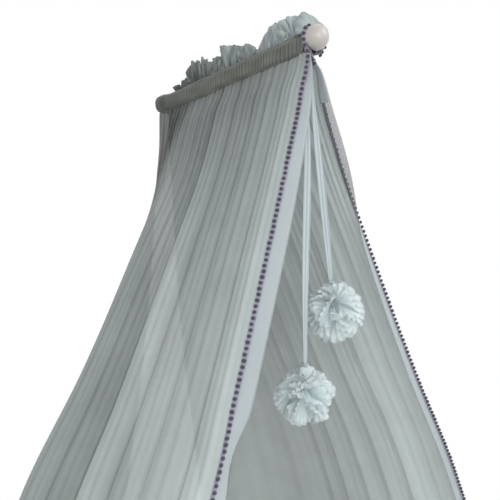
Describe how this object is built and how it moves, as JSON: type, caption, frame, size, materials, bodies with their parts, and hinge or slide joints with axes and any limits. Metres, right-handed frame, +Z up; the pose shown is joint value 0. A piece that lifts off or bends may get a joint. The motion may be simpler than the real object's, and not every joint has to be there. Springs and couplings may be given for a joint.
{
  "type": "bed crown canopy",
  "caption": "Wall-mounted rod with a ball finial carrying a gathered sheer canopy with a ruffled heading, two flared drops, bobble trim and hanging tulle pom-poms.",
  "frame": {"origin": "middle of the wall rosette's flat back, on the wall, on the rod's axis", "axes": "+Z up, +Y into the wall, the rod runs along -Y to the ball, +X to the right seen from the front"},
  "size_m": [1.2176, 0.6831, 1.9982],
  "materials": {
    "white_paint": "warm white satin paint on turned wood",
    "bare_wood": "sanded bare beech dowel",
    "screw_steel": "zinc-plated steel",
    "voile": "sheer matt blue-grey cotton voile, plain weave",
    "gathered_voile": "the same voile in close gathers, darker where it lies double",
    "ribbon_voile": "soft folded voile ribbon, pale blue",
    "tulle": "layered pale blue tulle petals, matt",
    "bobble_trim": "lilac woven tape with dark slate-purple mini bobbles"
  },
  "bodies": {
    "canopy": {"wall_rosette": "white_paint", "rosette_screw_1": "screw_steel", "rosette_screw_2": "screw_steel", "rosette_screw_3": "screw_steel", "rod": "bare_wood", "rod_hanger_screw": "screw_steel", "finial_dowel_screw": "screw_steel", "ball_finial": "white_paint", "header_sleeve": "gathered_voile", "header_frill": "gathered_voile", "left_drop": "voile", "right_drop": "voile", "left_bobble_trim": "bobble_trim", "right_bobble_trim": "bobble_trim", "header_bobble_trim": "bobble_trim"},
    "lower_loop": {"lower_ribbon_loop": "ribbon_voile"},
    "lower_hanging": {"lower_ribbon": "ribbon_voile", "lower_pompom_tie": "ribbon_voile", "lower_pompom": "tulle"},
    "upper_loop": {"upper_ribbon_loop": "ribbon_voile"},
    "upper_hanging": {"upper_ribbon": "ribbon_voile", "upper_pompom_tie": "ribbon_voile", "upper_pompom": "tulle"}
  },
  "joints": [
    {"name": "lower_side_swing", "type": "hinge", "parent": "canopy", "child": "lower_loop", "pos_m": [0, -0.5725, 0], "axis": [0, 1, 0], "range_deg": [0, 5]},
    {"name": "lower_fore_aft_swing", "type": "hinge", "parent": "lower_loop", "child": "lower_hanging", "pos_m": [-0.00449, -0.5725, -0.01763], "axis": [1, 0, 0], "range_deg": [-8, 8]},
    {"name": "upper_side_swing", "type": "hinge", "parent": "canopy", "child": "upper_loop", "pos_m": [0, -0.5773, 0], "axis": [0, -1, 0], "range_deg": [0, 4]},
    {"name": "upper_fore_aft_swing", "type": "hinge", "parent": "upper_loop", "child": "upper_hanging", "pos_m": [0.00449, -0.5773, -0.01763], "axis": [1, 0, 0], "range_deg": [-8, 8]}
  ]
}
